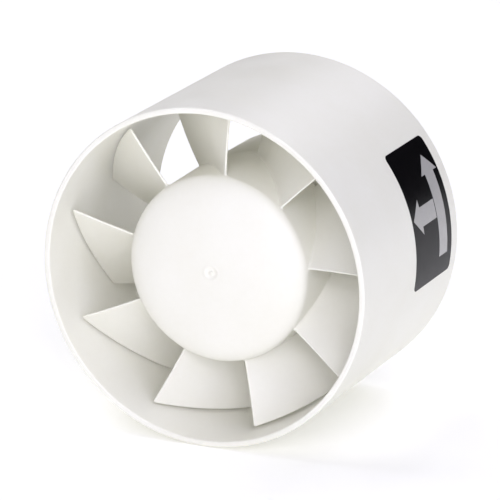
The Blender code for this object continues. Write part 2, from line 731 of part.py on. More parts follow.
def add_bearings(fan, finish):
    felt_front, felt_rear = BUSH_FRONT - 1.9 * MM, BUSH_FRONT - 2 * GAP
    retainer_front, retainer_rear = BUSH_FRONT - 3.5 * MM, BUSH_FRONT - 2.5 * MM
    felt = ring(5.9 * MM, SHAFT_RADIUS + GAP, felt_front, felt_rear)
    retainer = ring(7.4 * MM, SHAFT_RADIUS + 2 * GAP, retainer_front, retainer_rear)
    pieces = (
        ("bearing_bracket", bearing_bracket(), finish["zinc"]),
        ("bush", bush(), finish["bronze"]),
        ("oil_felt", felt, finish["felt"]),
        ("bush_retainer", retainer, finish["steel"]),
    )
    for name, mesh, piece_finish in pieces:
        fan.add(f"front_{name}", mesh, piece_finish)
        fan.add(f"rear_{name}", behind_stack(mesh), piece_finish)


def add_motor_mounting(fan, finish):
    spots = [(side * MOTOR_SCREW_X, 0, 0) for side in (-1, 1)]
    head_height = z_at(BRACKET_FOOT_FRONT - GAP)
    bolt = screw(3.2 * MM, 2.2 * MM, 1.6 * MM, 44 * MM)
    add_pair(fan, "motor_screw", bolt, finish["steel"], [(x, y, head_height) for x, y, _ in spots])
    rear_foot = 2 * STACK_MIDDLE - BRACKET_FOOT_FRONT
    spacer = ring(SPACER_RADIUS, MOTOR_HOLE_RADIUS, rear_foot + GAP, SPACER_REAR, SMALL)
    add_pair(fan, "motor_spacer", spacer, finish["steel"], spots)
    damper = ring(DAMPER_RADIUS, MOTOR_HOLE_RADIUS, SPACER_REAR + GAP, BULKHEAD_FRONT - GAP, SMALL)
    add_pair(fan, "motor_damper", damper, finish["rubber"], spots)
    nut = hex_nut(3.2 * MM, MOTOR_HOLE_RADIUS, BULKHEAD_REAR + GAP, BULKHEAD_REAR + 2.8 * MM)
    add_pair(fan, "motor_nut", nut, finish["steel"], spots)


# ---------------------------------------------------------------- terminal compartment

def terminal_block():
    channel_half = 2.6 * MM
    body = rounded(block(
        (-BLOCK_WIDTH / 2, BLOCK_WIDTH / 2),
        (BLOCK_Y - BLOCK_HEIGHT / 2, BLOCK_Y + BLOCK_HEIGHT / 2),
        (BULKHEAD_REAR + GAP, BLOCK_REAR),
    ), 0.5 * MM, 1)
    cuts = [rod(SMALL_PILOT + 0.2 * MM, BULKHEAD_REAR, CASING_LENGTH, at=(0, BLOCK_Y))]
    for side in (-1, 1):
        cuts.append(block(
            (side * POLE_X - channel_half, side * POLE_X + channel_half),
            (BLOCK_Y - BLOCK_HEIGHT, BLOCK_Y + BLOCK_HEIGHT),
            (POLE_DEPTH - channel_half, POLE_DEPTH + channel_half),
        ))
        for row in (-1, 1):
            well = (side * POLE_X, BLOCK_Y + row * TERMINAL_ROW)
            cuts.append(rod(2.1 * MM, POLE_DEPTH, CASING_LENGTH, at=well))
    return cut(body, *cuts)


def terminal_insert(side):
    x = side * POLE_X
    body = block(
        (x - INSERT_HALF, x + INSERT_HALF), (BLOCK_Y - 6 * MM, BLOCK_Y + 6 * MM),
        (POLE_DEPTH - INSERT_HALF, POLE_DEPTH + INSERT_HALF),
    )
    wire_way = upright_rod(1.3 * MM, BLOCK_Y - 10 * MM, BLOCK_Y + 10 * MM, WIRE_DEPTH, x=x)
    threads = [
        rod(1.5 * MM, POLE_DEPTH, POLE_DEPTH + 2 * INSERT_HALF, at=(x, BLOCK_Y + row * TERMINAL_ROW))
        for row in (-1, 1)
    ]
    return cut(body, wire_way, *threads)


def add_terminals(fan, finish):
    fan.add("terminal_block", terminal_block(), finish["terminal"])
    for number, side in ((1, -1), (2, 1)):
        fan.add(f"terminal_insert_{number}", terminal_insert(side), finish["brass"])
    clamping = placed(screw(1.75 * MM, 1.4 * MM, 1.15 * MM, 3 * MM), HEAD_TO_REAR)
    spots = [
        (x * POLE_X, BLOCK_Y + y * TERMINAL_ROW, z_at(POLE_DEPTH + INSERT_HALF + GAP))
        for x in (-1, 1) for y in (-1, 1)
    ]
    add_pair(fan, "terminal_screw", clamping, finish["steel"], spots)
    fixing = placed(screw(2.2 * MM, 1.5 * MM, 1.1 * MM, 12.5 * MM), HEAD_TO_REAR)
    fan.add("block_screw", fixing, finish["steel"], at=(0, BLOCK_Y, z_at(BLOCK_REAR + GAP)))


def add_cord_clamp(fan, finish):
    bar_front, bar_rear = CLAMP_POST_REAR + GAP, CLAMP_POST_REAR + GAP + 2.2 * MM
    bar = plate(rectangle(20 * MM, 6 * MM, 2 * MM), bar_front, bar_rear)
    bar = placed(bar, Matrix.Translation((0, CLAMP_Y, 0)))
    holes = [
        rod(SMALL_PILOT, bar_front - MM, bar_rear + MM, at=(side * CLAMP_X, CLAMP_Y)) for side in (-1, 1)
    ]
    fan.add("cord_clamp", cut(bar, *holes), finish["terminal"])
    fixing = placed(screw(2 * MM, 1.4 * MM, 1.1 * MM, 6 * MM), HEAD_TO_REAR)
    spots = [(side * CLAMP_X, CLAMP_Y, z_at(bar_rear + GAP)) for side in (-1, 1)]
    add_pair(fan, "clamp_screw", fixing, finish["steel"], spots)


def add_cover(fan, finish):
    fan.add("rear_cover", rear_cover(), finish["plastic"])
    fixing = placed(screw(2.9 * MM, 1.9 * MM, 1.3 * MM, 12 * MM), HEAD_TO_REAR)
    spots = [
        (*around(COVER_SCREW_CIRCLE, angle), z_at(COVER_REAR + GAP)) for angle in COVER_SCREW_ANGLES
    ]
    add_pair(fan, "cover_screw", fixing, finish["steel"], spots)


def grommet(profile):
    """A turned rubber grommet in the lowest point of a wall; heights are distances from the axis."""
    upright = turned(profile, MEDIUM)
    return placed(turned_by(upright, 90, "X"), Matrix.Translation((0, 0, z_at(CORD_DEPTH))))


def add_grommets(fan, finish):
    core = CORD_HOLE_RADIUS - GAP
    # A flat flange stands off a round wall by the wall's fall across it
    wall_outside, wall_inside = CASING_RADIUS - 0.5 * MM, bore_at(CORD_DEPTH) - 0.8 * MM
    wall_end = wall_inside - 1.4 * MM
    fan.add("casing_grommet", grommet([
        (core, wall_outside), (core, wall_inside), (GROMMET_FLANGE, wall_inside),
        (GROMMET_FLANGE, wall_end), (CORD_BORE, wall_end), (CORD_BORE, wall_outside),
    ]), finish["rubber"])
    cup_outside, cup_inside = CUP_RADIUS + GAP, CUP_RADIUS - CUP_WALL - 0.9 * MM
    outer_end, inner_end = cup_outside + 1.6 * MM, cup_inside - 1.2 * MM
    inner_flange, flange = 4.9 * MM, GROMMET_FLANGE
    fan.add("cup_grommet", grommet([
        (flange - MM, outer_end), (flange, cup_outside + 0.4 * MM), (flange, cup_outside),
        (core, cup_outside), (core, cup_inside), (inner_flange, cup_inside),
        (inner_flange, inner_end), (CORD_BORE, inner_end), (CORD_BORE, outer_end),
    ]), finish["rubber"])


def add_leads(fan, finish):
    """The coil's two leads: back through the bulkhead, then down into the terminal block."""
    for name, side, colour in (("live_lead", -1, "brown"), ("neutral_lead", 1, "blue")):
        route = smooth_line([
            (side * 6 * MM, 26 * MM, z_at(65.2 * MM)),
            (side * 5.5 * MM, 27.5 * MM, z_at(69 * MM)),
            (side * 2.2 * MM, 30.6 * MM, z_at(75 * MM)),
            (side * 1.6 * MM, 31 * MM, z_at(80 * MM)),
            (side * 3.2 * MM, 30.2 * MM, z_at(83.2 * MM)),
            (side * 4.8 * MM, 27.4 * MM, z_at(WIRE_DEPTH)),
            (side * POLE_X, 24.4 * MM, z_at(WIRE_DEPTH)),
        ])
        fan.add(name, wire(route, 0.8 * MM), finish[colour])


def main():
    clear_scene()
    fan = Assembly("inline_duct_fan")
    finish = finishes()
    add_casing(fan, finish)
    add_cover(fan, finish)
    add_impeller(fan, finish)
    add_rotor(fan, finish)
    add_stator(fan, finish)
    add_bearings(fan, finish)
    add_motor_mounting(fan, finish)
    add_terminals(fan, finish)
    add_cord_clamp(fan, finish)
    add_grommets(fan, finish)
    add_leads(fan, finish)


main()
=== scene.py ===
"""Looks of the inline duct fan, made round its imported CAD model.

Shapes are made in the fan's own frame, whose +Z is the fan's axis and points out of the outlet, and
are placed along it by their depth behind the outlet rim. UPRIGHT turns them so that the outlet faces
-Y and up is +Z. All lengths are in metres.
"""

import json
import math

import bmesh
import bpy
from mathutils import Matrix, Vector


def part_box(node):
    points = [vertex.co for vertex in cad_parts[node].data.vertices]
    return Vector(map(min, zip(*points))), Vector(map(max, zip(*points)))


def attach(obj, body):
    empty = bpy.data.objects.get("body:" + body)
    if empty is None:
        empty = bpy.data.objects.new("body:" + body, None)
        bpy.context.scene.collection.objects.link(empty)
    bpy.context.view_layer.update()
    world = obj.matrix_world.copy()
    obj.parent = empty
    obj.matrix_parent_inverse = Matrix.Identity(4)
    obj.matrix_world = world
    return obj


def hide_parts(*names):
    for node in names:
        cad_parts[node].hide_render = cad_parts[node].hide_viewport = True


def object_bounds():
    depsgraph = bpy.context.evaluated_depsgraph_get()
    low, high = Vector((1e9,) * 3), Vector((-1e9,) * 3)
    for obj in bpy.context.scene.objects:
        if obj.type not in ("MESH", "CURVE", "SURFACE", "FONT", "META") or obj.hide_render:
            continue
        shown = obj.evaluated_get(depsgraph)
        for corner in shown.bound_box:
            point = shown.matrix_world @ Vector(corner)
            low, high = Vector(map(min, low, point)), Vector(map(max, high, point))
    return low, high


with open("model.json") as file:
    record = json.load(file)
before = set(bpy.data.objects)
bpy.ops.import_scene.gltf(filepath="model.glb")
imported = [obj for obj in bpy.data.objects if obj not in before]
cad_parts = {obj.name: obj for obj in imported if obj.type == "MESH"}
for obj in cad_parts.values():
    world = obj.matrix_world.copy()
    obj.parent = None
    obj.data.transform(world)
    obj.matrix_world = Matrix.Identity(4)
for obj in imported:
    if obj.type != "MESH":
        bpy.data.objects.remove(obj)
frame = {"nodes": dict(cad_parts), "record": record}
cad_low, cad_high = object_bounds()

MM = 0.001
UPRIGHT = Matrix.Rotation(math.radians(90), 4, "X")

# Places that the CAD boxes give
casing_low, casing_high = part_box("casing")
OUTLET_Y = casing_low.y
CASING_LENGTH = casing_high.y - casing_low.y
CASING_RADIUS = casing_high.z
label_low, label_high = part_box("label")
impeller_low, impeller_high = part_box("impeller")
cover_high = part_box("rear_cover")[1]
grommet_low, grommet_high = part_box("casing_grommet")
cup_grommet_low, cup_grommet_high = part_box("cup_grommet")

HUB_FRONT = impeller_low.y - OUTLET_Y
HUB_REAR = impeller_high.y - OUTLET_Y
COVER_RADIUS = cover_high.z
COVER_REAR = cover_high.y - OUTLET_Y
CORD_DEPTH = (grommet_low.y + grommet_high.y) / 2 - OUTLET_Y

# Casing
OUTLET_BORE, INLET_BORE = 71.4 * MM, 69.7 * MM  # the bore narrows evenly, as the mould's draft
RIM_ROUNDING = 0.75 * MM
CUP_RADIUS, CUP_WALL = 41 * MM, 2.2 * MM
CUP_FRONT, CUP_REAR = 57 * MM, 91.4 * MM
BULKHEAD_FRONT, BULKHEAD_REAR, BULKHEAD_BORE = 76.5 * MM, 79 * MM, 7 * MM
ARM_ANGLES = (90, 210, 330)
ARM_THICKNESS = 3 * MM
ARM_FRONT, ARM_REAR = 65 * MM, 90.5 * MM
ARM_FILLET = 2.4 * MM
COVER_SCREW_CIRCLE, COVER_SCREW_ANGLES = 33 * MM, (33, 213)
COVER_POST_RADIUS, COVER_PILOT = 3.2 * MM, 1.6 * MM
CLAMP_SPREAD, CLAMP_HEIGHT = 7 * MM, -22 * MM
CLAMP_POST_RADIUS, SMALL_PILOT = 2.6 * MM, 1.4 * MM
MOTOR_HOLE_SPREAD, MOTOR_HOLE_RADIUS = 17 * MM, 1.9 * MM
LEAD_HOLE_HEIGHT, LEAD_HOLE_RADIUS = 31 * MM, 3.4 * MM
BLOCK_SCREW_HEIGHT = 17 * MM
PAST_CUP = 92 * MM  # the depth that the cutters run to, behind the cup
CORD_HOLE_RADIUS = 4.2 * MM

# Label and its arrows
LABEL_CORNER = 2.5 * MM
LABEL_SINK, LABEL_RISE = 0.02 * MM, 0.10 * MM
ARROW_SINK, ARROW_RISE = 0.08 * MM, 0.125 * MM
FILM_STRIP = 1.2  # in millimetres, as the film is while it's flat

# Impeller
HUB_RADIUS, HUB_REAR_RADIUS, HUB_WALL = 41 * MM, 41.6 * MM, 2.2 * MM
DOME_DEPTH, DOME_POWER = 9 * MM, 2.6
BLADES = 9
BLADE_THICKNESS, BLADE_CAMBER = 1.0 * MM, 0.15
BLADE_ROOT_RADIUS, BLADE_TIP_RADIUS = 41.4 * MM, 69.8 * MM
BLADE_ROOT = (6.2, 40.0, 18.5 * MM, 51.8 * MM)
BLADE_TIP = (4.5, 35.7, 14.7 * MM, 50.2 * MM)
BLADE_FILLET = 1.3 * MM
BOSS_RADIUS, BOSS_REAR = 6.4 * MM, 27.3 * MM
SHAFT_BORE, SHAFT_BORE_FRONT = 2.8 * MM, 15.5 * MM

# Grommets
GROMMET_FLANGE, GROMMET_BORE = 6.3 * MM, 3 * MM
GROMMET_CORE = CORD_HOLE_RADIUS - 0.3 * MM
GROMMET_LIP = 4.9 * MM

# Camera, as an angle and a distance from a point near the middle of the casing
CAMERA_AZIMUTH, CAMERA_ELEVATION = 24.22, 16.82
CAMERA_DISTANCE, CAMERA_LENS, CAMERA_SENSOR = 1.7605, 294.55, 36
CAMERA_TARGET = (-0.9 * MM, -0.9 * MM, -1.4 * MM)

# Studio: square lights that face the fan, each with its place, power and tint
LIGHT_SIZE = 1.3
FRONT_TINT, SIDE_TINT, REAR_TINT = (0.905, 0.89, 1.0), (0.82, 0.825, 1.0), (0.94, 0.93, 1.0)
LIGHTS = (
    ("key", (0.8, -1.9, 0.9), 22.4, FRONT_TINT),
    ("fill_right", (1.6, -1.2, 0.7), 13, SIDE_TINT),
    ("front_low", (-0.8, -2.0, 0.45), 4.6, FRONT_TINT),
    ("top_right", (1.0, -0.6, 2.2), 13.5, FRONT_TINT),
    ("top_left", (-1.0, 0.2, 2.2), 20.5, REAR_TINT),
    ("rear", (0.2, 1.8, 1.7), 12.5, REAR_TINT),
    ("rear_left", (-1.6, 1.2, 1.2), 11.5, REAR_TINT),
)
WORLD_STRENGTH, FLOOR_GLOW = 0.03, 0.21
FLOOR_HALF, FLOOR_CELLS = 6, 12
FLOOR_GAP = 0.2 * MM

# Meshing
WALL_SIDES, CUP_SIDES, HUB_SIDES = 240, 192, 180
SHARP_ANGLE = 32
WELD = 0.001 * MM


# ---------------------------------------------------------------- mesh helpers

def z_at(depth):
    return CASING_LENGTH / 2 - depth


def around(radius, degrees):
    return Vector((radius * math.cos(math.radians(degrees)), radius * math.sin(math.radians(degrees))))


def new_object(name, mesh):
    obj = bpy.data.objects.new(name, mesh)
    bpy.context.scene.collection.objects.link(obj)
    return obj


def mesh_from(shape):
    bmesh.ops.recalc_face_normals(shape, faces=shape.faces)
    mesh = bpy.data.meshes.new("shape")
    shape.to_mesh(mesh)
    shape.free()
    return mesh


def placed(mesh, matrix):
    copy = mesh.copy()
    copy.transform(matrix)
    return copy


def turned_by(mesh, degrees):
    return placed(mesh, Matrix.Rotation(math.radians(degrees), 4, "Z"))


def softened(corners, closed=True, steps=4):
    """A profile of (radius, depth, rounding) corners with each rounding made an arc."""
    points = []
    count = len(corners)
    for i, (x, y, rounding) in enumerate(corners):
        if not rounding or (not closed and i in (0, count - 1)):
            points.append((x, y))
            continue
        here = Vector((x, y))
        before = (Vector(corners[i - 1][:2]) - here).normalized()
        after = (Vector(corners[(i + 1) % count][:2]) - here).normalized()
        half = before.angle(after) / 2
        centre = here + (before + after).normalized() * (rounding / math.sin(half))
        start = here + before * (rounding / math.tan(half)) - centre
        end = here + after * (rounding / math.tan(half)) - centre
        first = math.atan2(start.y, start.x)
        sweep = (math.atan2(end.y, end.x) - first + math.pi) % (2 * math.pi) - math.pi
        for k in range(steps + 1):
            turn = first + sweep * k / steps
            points.append((centre.x + rounding * math.cos(turn), centre.y + rounding * math.sin(turn)))
    return points


def skinned(rings, closed=False, capped=False):
    """Faces between rings of points.

    A ring of one point is a tip. Closed joins the last ring to the first.
    """
    shape = bmesh.new()
    made = [[shape.verts.new(point) for point in ring] for ring in rings]
    sides = max(len(ring) for ring in made)
    follow = made[1:] + made[:1] if closed else made[1:]
    for ring, after in zip(made, follow):
        for i in range(sides):
            j = (i + 1) % sides
            corners = [
                ring[i % len(ring)], ring[j % len(ring)], after[j % len(after)], after[i % len(after)],
            ]
            shape.faces.new(list(dict.fromkeys(corners)))
    if capped:
        shape.faces.new(made[0])
        shape.faces.new(made[-1])
    return mesh_from(shape)


def turned(profile, sides, closed=True):
    """A profile of (radius, depth) turned round the axis."""
    rings = []
    for radius, depth in profile:
        if radius < 1e-7:
            rings.append([(0, 0, z_at(depth))])
        else:
            rings.append([(*around(radius, 360 * i / sides), z_at(depth)) for i in range(sides)])
    return skinned(rings, closed)


def rod(radius, front, rear, at):
    mesh = turned([(0, front), (radius, front), (radius, rear), (0, rear)], 32, closed=False)
    # Turned a little, so that its corners lie on no edge of what it meets
    askew = Matrix.Rotation(math.radians(3.7), 4, "Z")
    return placed(mesh, Matrix.Translation((at[0], at[1], 0)) @ askew)


def combined(operation, base, tools):
    """One mesh after a boolean with each tool."""
    obj = new_object("boolean_base", base)
    helpers = [new_object("boolean_tool", tool) for tool in tools]
    for helper in helpers:
        boolean = obj.modifiers.new("Boolean", "BOOLEAN")
        boolean.operation = operation
        boolean.solver = "EXACT"
        boolean.object = helper
    graph = bpy.context.evaluated_depsgraph_get()
    mesh = bpy.data.meshes.new_from_object(obj.evaluated_get(graph))
    for helper in [obj, *helpers]:
        bpy.data.objects.remove(helper)
    shape = bmesh.new()
    shape.from_mesh(mesh)
    bmesh.ops.remove_doubles(shape, verts=shape.verts, dist=WELD)
    return mesh_from(shape)


def joined(base, *tools):
    return combined("UNION", base, tools)


def cut(base, *tools):
    return combined("DIFFERENCE", base, tools)


def add_piece(name, mesh, body, finish, replaced):
    """Finishes a mesh made in the fan's frame as a piece of the object."""
    mesh = placed(mesh, UPRIGHT)
    mesh.name = name
    mesh.materials.clear()
    mesh.materials.append(finish)
    mesh.shade_smooth()
    mesh.set_sharp_from_angle(angle=math.radians(SHARP_ANGLE))
    obj = new_object(name, mesh)
    weighted = obj.modifiers.new("Even shading", "WEIGHTED_NORMAL")
    weighted.keep_sharp = True
    weighted.weight = 80
    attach(obj, body)
    if replaced:
        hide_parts(*replaced)
    return obj


# ---------------------------------------------------------------- materials

class Finish:
    """A material made of a principled shader and the patterns that drive it."""

    def __init__(self, name, **constants):
        self.material = bpy.data.materials.new(name)
        self.material.use_nodes = True
        self.tree = self.material.node_tree
        self.shader = self.tree.nodes["Principled BSDF"]
        self.normal = None
        for socket, value in constants.items():
            label = socket.replace("_", " ").title().replace("Ior", "IOR")
            self.shader.inputs[label].default_value = value
        self.place = self.tree.nodes.new("ShaderNodeTexCoord").outputs["Object"]

    def node(self, kind, **inputs):
        made = self.tree.nodes.new("ShaderNode" + kind)
        for name, value in inputs.items():
            self.feed(made.inputs[name.replace("_", " ").title()], value)
        return made

    def feed(self, socket, value):
        if isinstance(value, bpy.types.NodeSocket):
            self.tree.links.new(value, socket)
        else:
            socket.default_value = value

    def stretched(self, scale):
        made = self.node("Mapping", Vector=self.place)
        made.inputs["Scale"].default_value = scale
        return made.outputs["Vector"]

    def noise(self, size, detail=3, roughness=0.5, distortion=0.0, vector=None):
        """A noise whose features are about this size, from 0 to 1."""
        made = self.node(
            "TexNoise", Vector=vector or self.place, Scale=1 / size, Detail=detail,
            Roughness=roughness, Distortion=distortion,
        )
        return made.outputs["Fac"]

    def cells(self, size):
        return self.node("TexVoronoi", Vector=self.place, Scale=1 / size).outputs["Distance"]

    def bands(self, pitch, axis, distortion=0.0):
        """Bands across an axis, one every pitch."""
        made = self.node("TexWave", Vector=self.place, Scale=math.pi / 10 / pitch)
        made.inputs["Distortion"].default_value = distortion
        made.bands_direction = axis
        return made.outputs["Fac"]

    def ranged(self, value, low, high, start=0.3, end=0.7):
        made = self.node("MapRange", Value=value)
        limits = {"From Min": start, "From Max": end, "To Min": low, "To Max": high}
        for socket, number in limits.items():
            made.inputs[socket].default_value = number
        return made.outputs["Result"]

    def math(self, operation, first, second):
        made = self.tree.nodes.new("ShaderNodeMath")
        made.operation = operation
        self.feed(made.inputs[0], first)
        self.feed(made.inputs[1], second)
        return made.outputs[0]

    def mixed(self, amount, first, second):
        made = self.tree.nodes.new("ShaderNodeMix")
        made.data_type = "RGBA"
        self.feed(made.inputs["Factor"], amount)
        for socket, colour in (("A", first), ("B", second)):
            found = [s for s in made.inputs if s.name == socket and s.type == "RGBA"][0]
            self.feed(found, colour if isinstance(colour, bpy.types.NodeSocket) else (*colour, 1))
        return [s for s in made.outputs if s.type == "RGBA"][0]

    def colour(self, amount, first, second):
        self.tree.links.new(self.mixed(amount, first, second), self.shader.inputs["Base Color"])
        return self

    def colour_from(self, socket):
        self.tree.links.new(socket, self.shader.inputs["Base Color"])
        return self

    def roughness(self, amount, low, high):
        self.tree.links.new(self.ranged(amount, low, high), self.shader.inputs["Roughness"])
        return self

    def bump(self, height, distance, strength=1.0):
        made = self.node("Bump", Height=height, Distance=distance, Strength=strength)
        if self.normal:
            self.tree.links.new(self.normal, made.inputs["Normal"])
        self.normal = made.outputs["Normal"]
        self.tree.links.new(self.normal, self.shader.inputs["Normal"])
        return self


def white_plastic(name, bright, dull):
    """Satin moulded ABS: faint flow mottling, fine spark texture and slow unevenness of the skin."""
    made = Finish(name, specular_ior_level=0.45, ior=1.53)
    broad, fine = made.noise(0.035, 2), made.noise(0.0022, 4)
    tone = made.ranged(made.math("ADD", broad, made.math("MULTIPLY", fine, 0.35)), 0, 1, 0.45, 0.9)
    made.colour(tone, dull, bright)
    made.roughness(made.noise(0.012, 3), 0.36, 0.48)
    made.bump(made.noise(0.022, 1), 0.00035, 0.35)
    made.bump(made.noise(0.0006, 2), 0.00001, 0.5)
    return made.material


def label_film():
    """Smooth black film: a soft sheen that shows only at a low angle."""
    made = Finish("label_film", specular_ior_level=0.1)
    made.colour(made.noise(0.02, 3), (0.0022, 0.0019, 0.0024), (0.0034, 0.0030, 0.0042))
    made.roughness(made.noise(0.006, 3), 0.2, 0.26)
    made.bump(made.noise(0.0012, 3), 0.000004, 0.5)
    made.bump(made.noise(0.02, 1), 0.00008, 0.25)
    return made.material


def arrow_print():
    made = Finish("arrow_print", metallic=0.2, specular_ior_level=0.3)
    made.colour(made.noise(0.0008, 4), (0.43, 0.425, 0.41), (0.53, 0.525, 0.505))
    made.roughness(made.noise(0.003, 3), 0.36, 0.48)
    made.bump(made.noise(0.0004, 2), 0.00001, 0.5)
    return made.material


def lamination_steel():
    """Thin sheets stacked along the fan's axis, with a bluish oxide."""
    made = Finish("lamination_steel", metallic=0.9)
    sheets = made.bands(0.0005, "Y")
    stain = made.mixed(made.noise(0.006, 4, 0.6), (0.20, 0.22, 0.26), (0.38, 0.37, 0.36))
    made.colour_from(made.mixed(made.ranged(sheets, 0, 0.55, 0, 0.35), stain, (0.07, 0.07, 0.08)))
    made.roughness(made.noise(0.002, 3), 0.34, 0.6)
    made.bump(sheets, 0.00008, 0.7)
    return made.material


def bright_steel():
    made = Finish("bright_steel", metallic=1.0)
    made.colour(made.noise(0.004, 4), (0.60, 0.60, 0.585), (0.72, 0.73, 0.75))
    made.roughness(made.noise(0.0009, 4), 0.2, 0.36)
    made.bump(made.noise(0.0005, 3), 0.00001, 0.6)
    return made.material


def copper_wire(name, pitch, axis):
    made = Finish(name, metallic=0.9, coat_weight=0.5, coat_roughness=0.15)
    turns = made.bands(pitch, axis, 0.4)
    copper = made.mixed(made.noise(0.003, 4), (0.62, 0.25, 0.11), (0.80, 0.38, 0.20))
    made.colour_from(made.mixed(made.ranged(turns, 0, 0.6, 0.0, 0.3), copper, (0.16, 0.05, 0.02)))
    made.roughness(made.noise(0.001, 3), 0.24, 0.4)
    made.bump(turns, 0.0001, 0.8)
    return made.material


def granular(name, first, second, grain, rough, relief, **constants):
    """A cast, sintered or moulded surface: mottled, uneven in gloss, and grained."""
    made = Finish(name, **constants)
    made.colour(made.ranged(made.noise(grain * 6, 4, 0.6), 0, 1), first, second)
    made.roughness(made.noise(grain * 3, 3), *rough)
    made.bump(made.noise(grain, 3), relief, 0.7)
    return made.material


def pored(name, first, second, pore, rough, relief, **constants):
    """A surface with small open pores."""
    made = Finish(name, **constants)
    pores = made.cells(pore)
    made.colour(made.ranged(pores, 0, 1, 0.1, 0.45), first, second)
    made.roughness(made.noise(pore * 3, 3), *rough)
    made.bump(pores, relief, 0.8)
    return made.material


def fibrous(name, first, second, size, rough, relief, stretch, **constants):
    made = Finish(name, **constants)
    strands = made.noise(size, 5, 0.7, 1.5, made.stretched(stretch))
    made.colour(made.ranged(strands, 0, 1), first, second)
    made.roughness(made.noise(size * 3, 3), *rough)
    made.bump(strands, relief, 0.9)
    return made.material


FINISHES = {
    "white_plastic": white_plastic("white_plastic", (0.905, 0.899, 0.815), (0.877, 0.868, 0.770)),
    "label_film": label_film(),
    "lamination_steel": lamination_steel(),
    "bright_steel": bright_steel(),
    "copper_wire": copper_wire("copper_wire", 0.00042, "X"),
    "natural_nylon": granular(
        "natural_nylon", (0.66, 0.61, 0.47), (0.76, 0.72, 0.60), 0.0006, (0.35, 0.55), 0.00002,
        subsurface_weight=0.15, subsurface_scale=0.002,
    ),
    "sintered_bronze": pored(
        "sintered_bronze", (0.22, 0.12, 0.05), (0.60, 0.40, 0.20), 0.0003, (0.4, 0.62), 0.00006,
        metallic=0.85,
    ),
    "oil_felt": fibrous(
        "oil_felt", (0.20, 0.16, 0.10), (0.42, 0.36, 0.26), 0.0004, (0.85, 1.0), 0.0002, (1, 3, 1),
        sheen_weight=0.4,
    ),
    "die_cast_zinc": granular(
        "die_cast_zinc", (0.42, 0.43, 0.45), (0.60, 0.61, 0.63), 0.0005, (0.42, 0.6), 0.00005,
        metallic=0.9,
    ),
    "cast_aluminium": granular(
        "cast_aluminium", (0.60, 0.61, 0.62), (0.76, 0.77, 0.78), 0.0006, (0.38, 0.55), 0.00006,
        metallic=0.9,
    ),
    "grey_rubber": granular(
        "grey_rubber", (0.045, 0.045, 0.047), (0.085, 0.085, 0.088), 0.0004, (0.6, 0.85), 0.00003,
        sheen_weight=0.15,
    ),
    "terminal_brass": granular(
        "terminal_brass", (0.62, 0.42, 0.15), (0.78, 0.58, 0.26), 0.0005, (0.24, 0.42), 0.00002,
        metallic=1.0,
    ),
    "terminal_plastic": granular(
        "terminal_plastic", (0.72, 0.72, 0.68), (0.82, 0.82, 0.79), 0.0005, (0.38, 0.55), 0.00002,
    ),
    "washer_fibre": fibrous(
        "washer_fibre", (0.36, 0.20, 0.12), (0.55, 0.36, 0.24), 0.0003, (0.6, 0.8), 0.00005, (6, 1, 1),
    ),
    "blue_insulation": granular(
        "blue_insulation", (0.02, 0.07, 0.32), (0.035, 0.11, 0.45), 0.0004, (0.35, 0.5), 0.00001,
    ),
    "brown_insulation": granular(
        "brown_insulation", (0.085, 0.030, 0.012), (0.14, 0.055, 0.024), 0.0004, (0.35, 0.5), 0.00001,
    ),
    "fuse_sleeve": fibrous(
        "fuse_sleeve", (0.60, 0.58, 0.50), (0.78, 0.76, 0.70), 0.0004, (0.5, 0.7), 0.00005, (1, 8, 8),
    ),
}


def dress_cad_nodes():
    """Gives each CAD node that still shows the finish of its slot in the record."""
    for part in frame["record"]["subparts"]:
        node = frame["nodes"][part["node"]]
        finish = FINISHES[part["material_slot"]]
        if not node.material_slots:
            node.data.materials.append(finish)
        for slot in node.material_slots:
            slot.material = finish


# ---------------------------------------------------------------- casing

def casing_wall():
    return turned(softened([
        (CASING_RADIUS, 0, RIM_ROUNDING),
        (CASING_RADIUS, CASING_LENGTH, RIM_ROUNDING),
        (INLET_BORE, CASING_LENGTH, RIM_ROUNDING),
        (OUTLET_BORE, 0, RIM_ROUNDING),
    ]), WALL_SIDES)


def motor_cup():
    bore = CUP_RADIUS - CUP_WALL
    return turned(softened([
        (CUP_RADIUS, CUP_FRONT, 0.6 * MM),
        (CUP_RADIUS, CUP_REAR, 0.35 * MM),
        (bore, CUP_REAR, 0.35 * MM),
        (bore, BULKHEAD_REAR, 1.0 * MM),
        (BULKHEAD_BORE, BULKHEAD_REAR, 0.3 * MM),
        (BULKHEAD_BORE, BULKHEAD_FRONT, 0.3 * MM),
        (bore, BULKHEAD_FRONT, 1.0 * MM),
        (bore, CUP_FRONT, 0.6 * MM),
    ]), CUP_SIDES)


def fillet_reach(distance, fillet):
    """How far a fillet stands out of a face, at a distance from the wall it runs into."""
    short = fillet - min(max(distance, 0), fillet)
    return fillet - math.sqrt(fillet ** 2 - short ** 2)


def arm():
    """An arm between the cup and the wall: a rounded strut that spreads into both."""
    inner, outer = CUP_RADIUS, (INLET_BORE + OUTLET_BORE) / 2 - 0.4 * MM
    steps = 7
    spread = [ARM_FILLET * (1 - math.cos(math.radians(90 * i / steps))) for i in range(steps + 1)]
    stations = [inner - 1.2 * MM] + [inner + s for s in spread]
    stations += [outer - s for s in reversed(spread)] + [outer + 1.5 * MM]
    rings = []
    for radius in stations:
        near = min(radius - inner, outer - radius)
        half = ARM_THICKNESS / 2 + fillet_reach(near, ARM_FILLET)
        lengthen = 0.2 * fillet_reach(near, ARM_FILLET)
        front, rear = ARM_FRONT - lengthen, ARM_REAR + lengthen
        corner = min(half, ARM_THICKNESS / 2) * 0.95
        outline = softened([
            (-half, front, corner), (half, front, corner), (half, rear, corner), (-half, rear, corner),
        ], steps=5)
        rings.append([(radius, x, z_at(depth)) for x, depth in outline])
    return skinned(rings, capped=True)


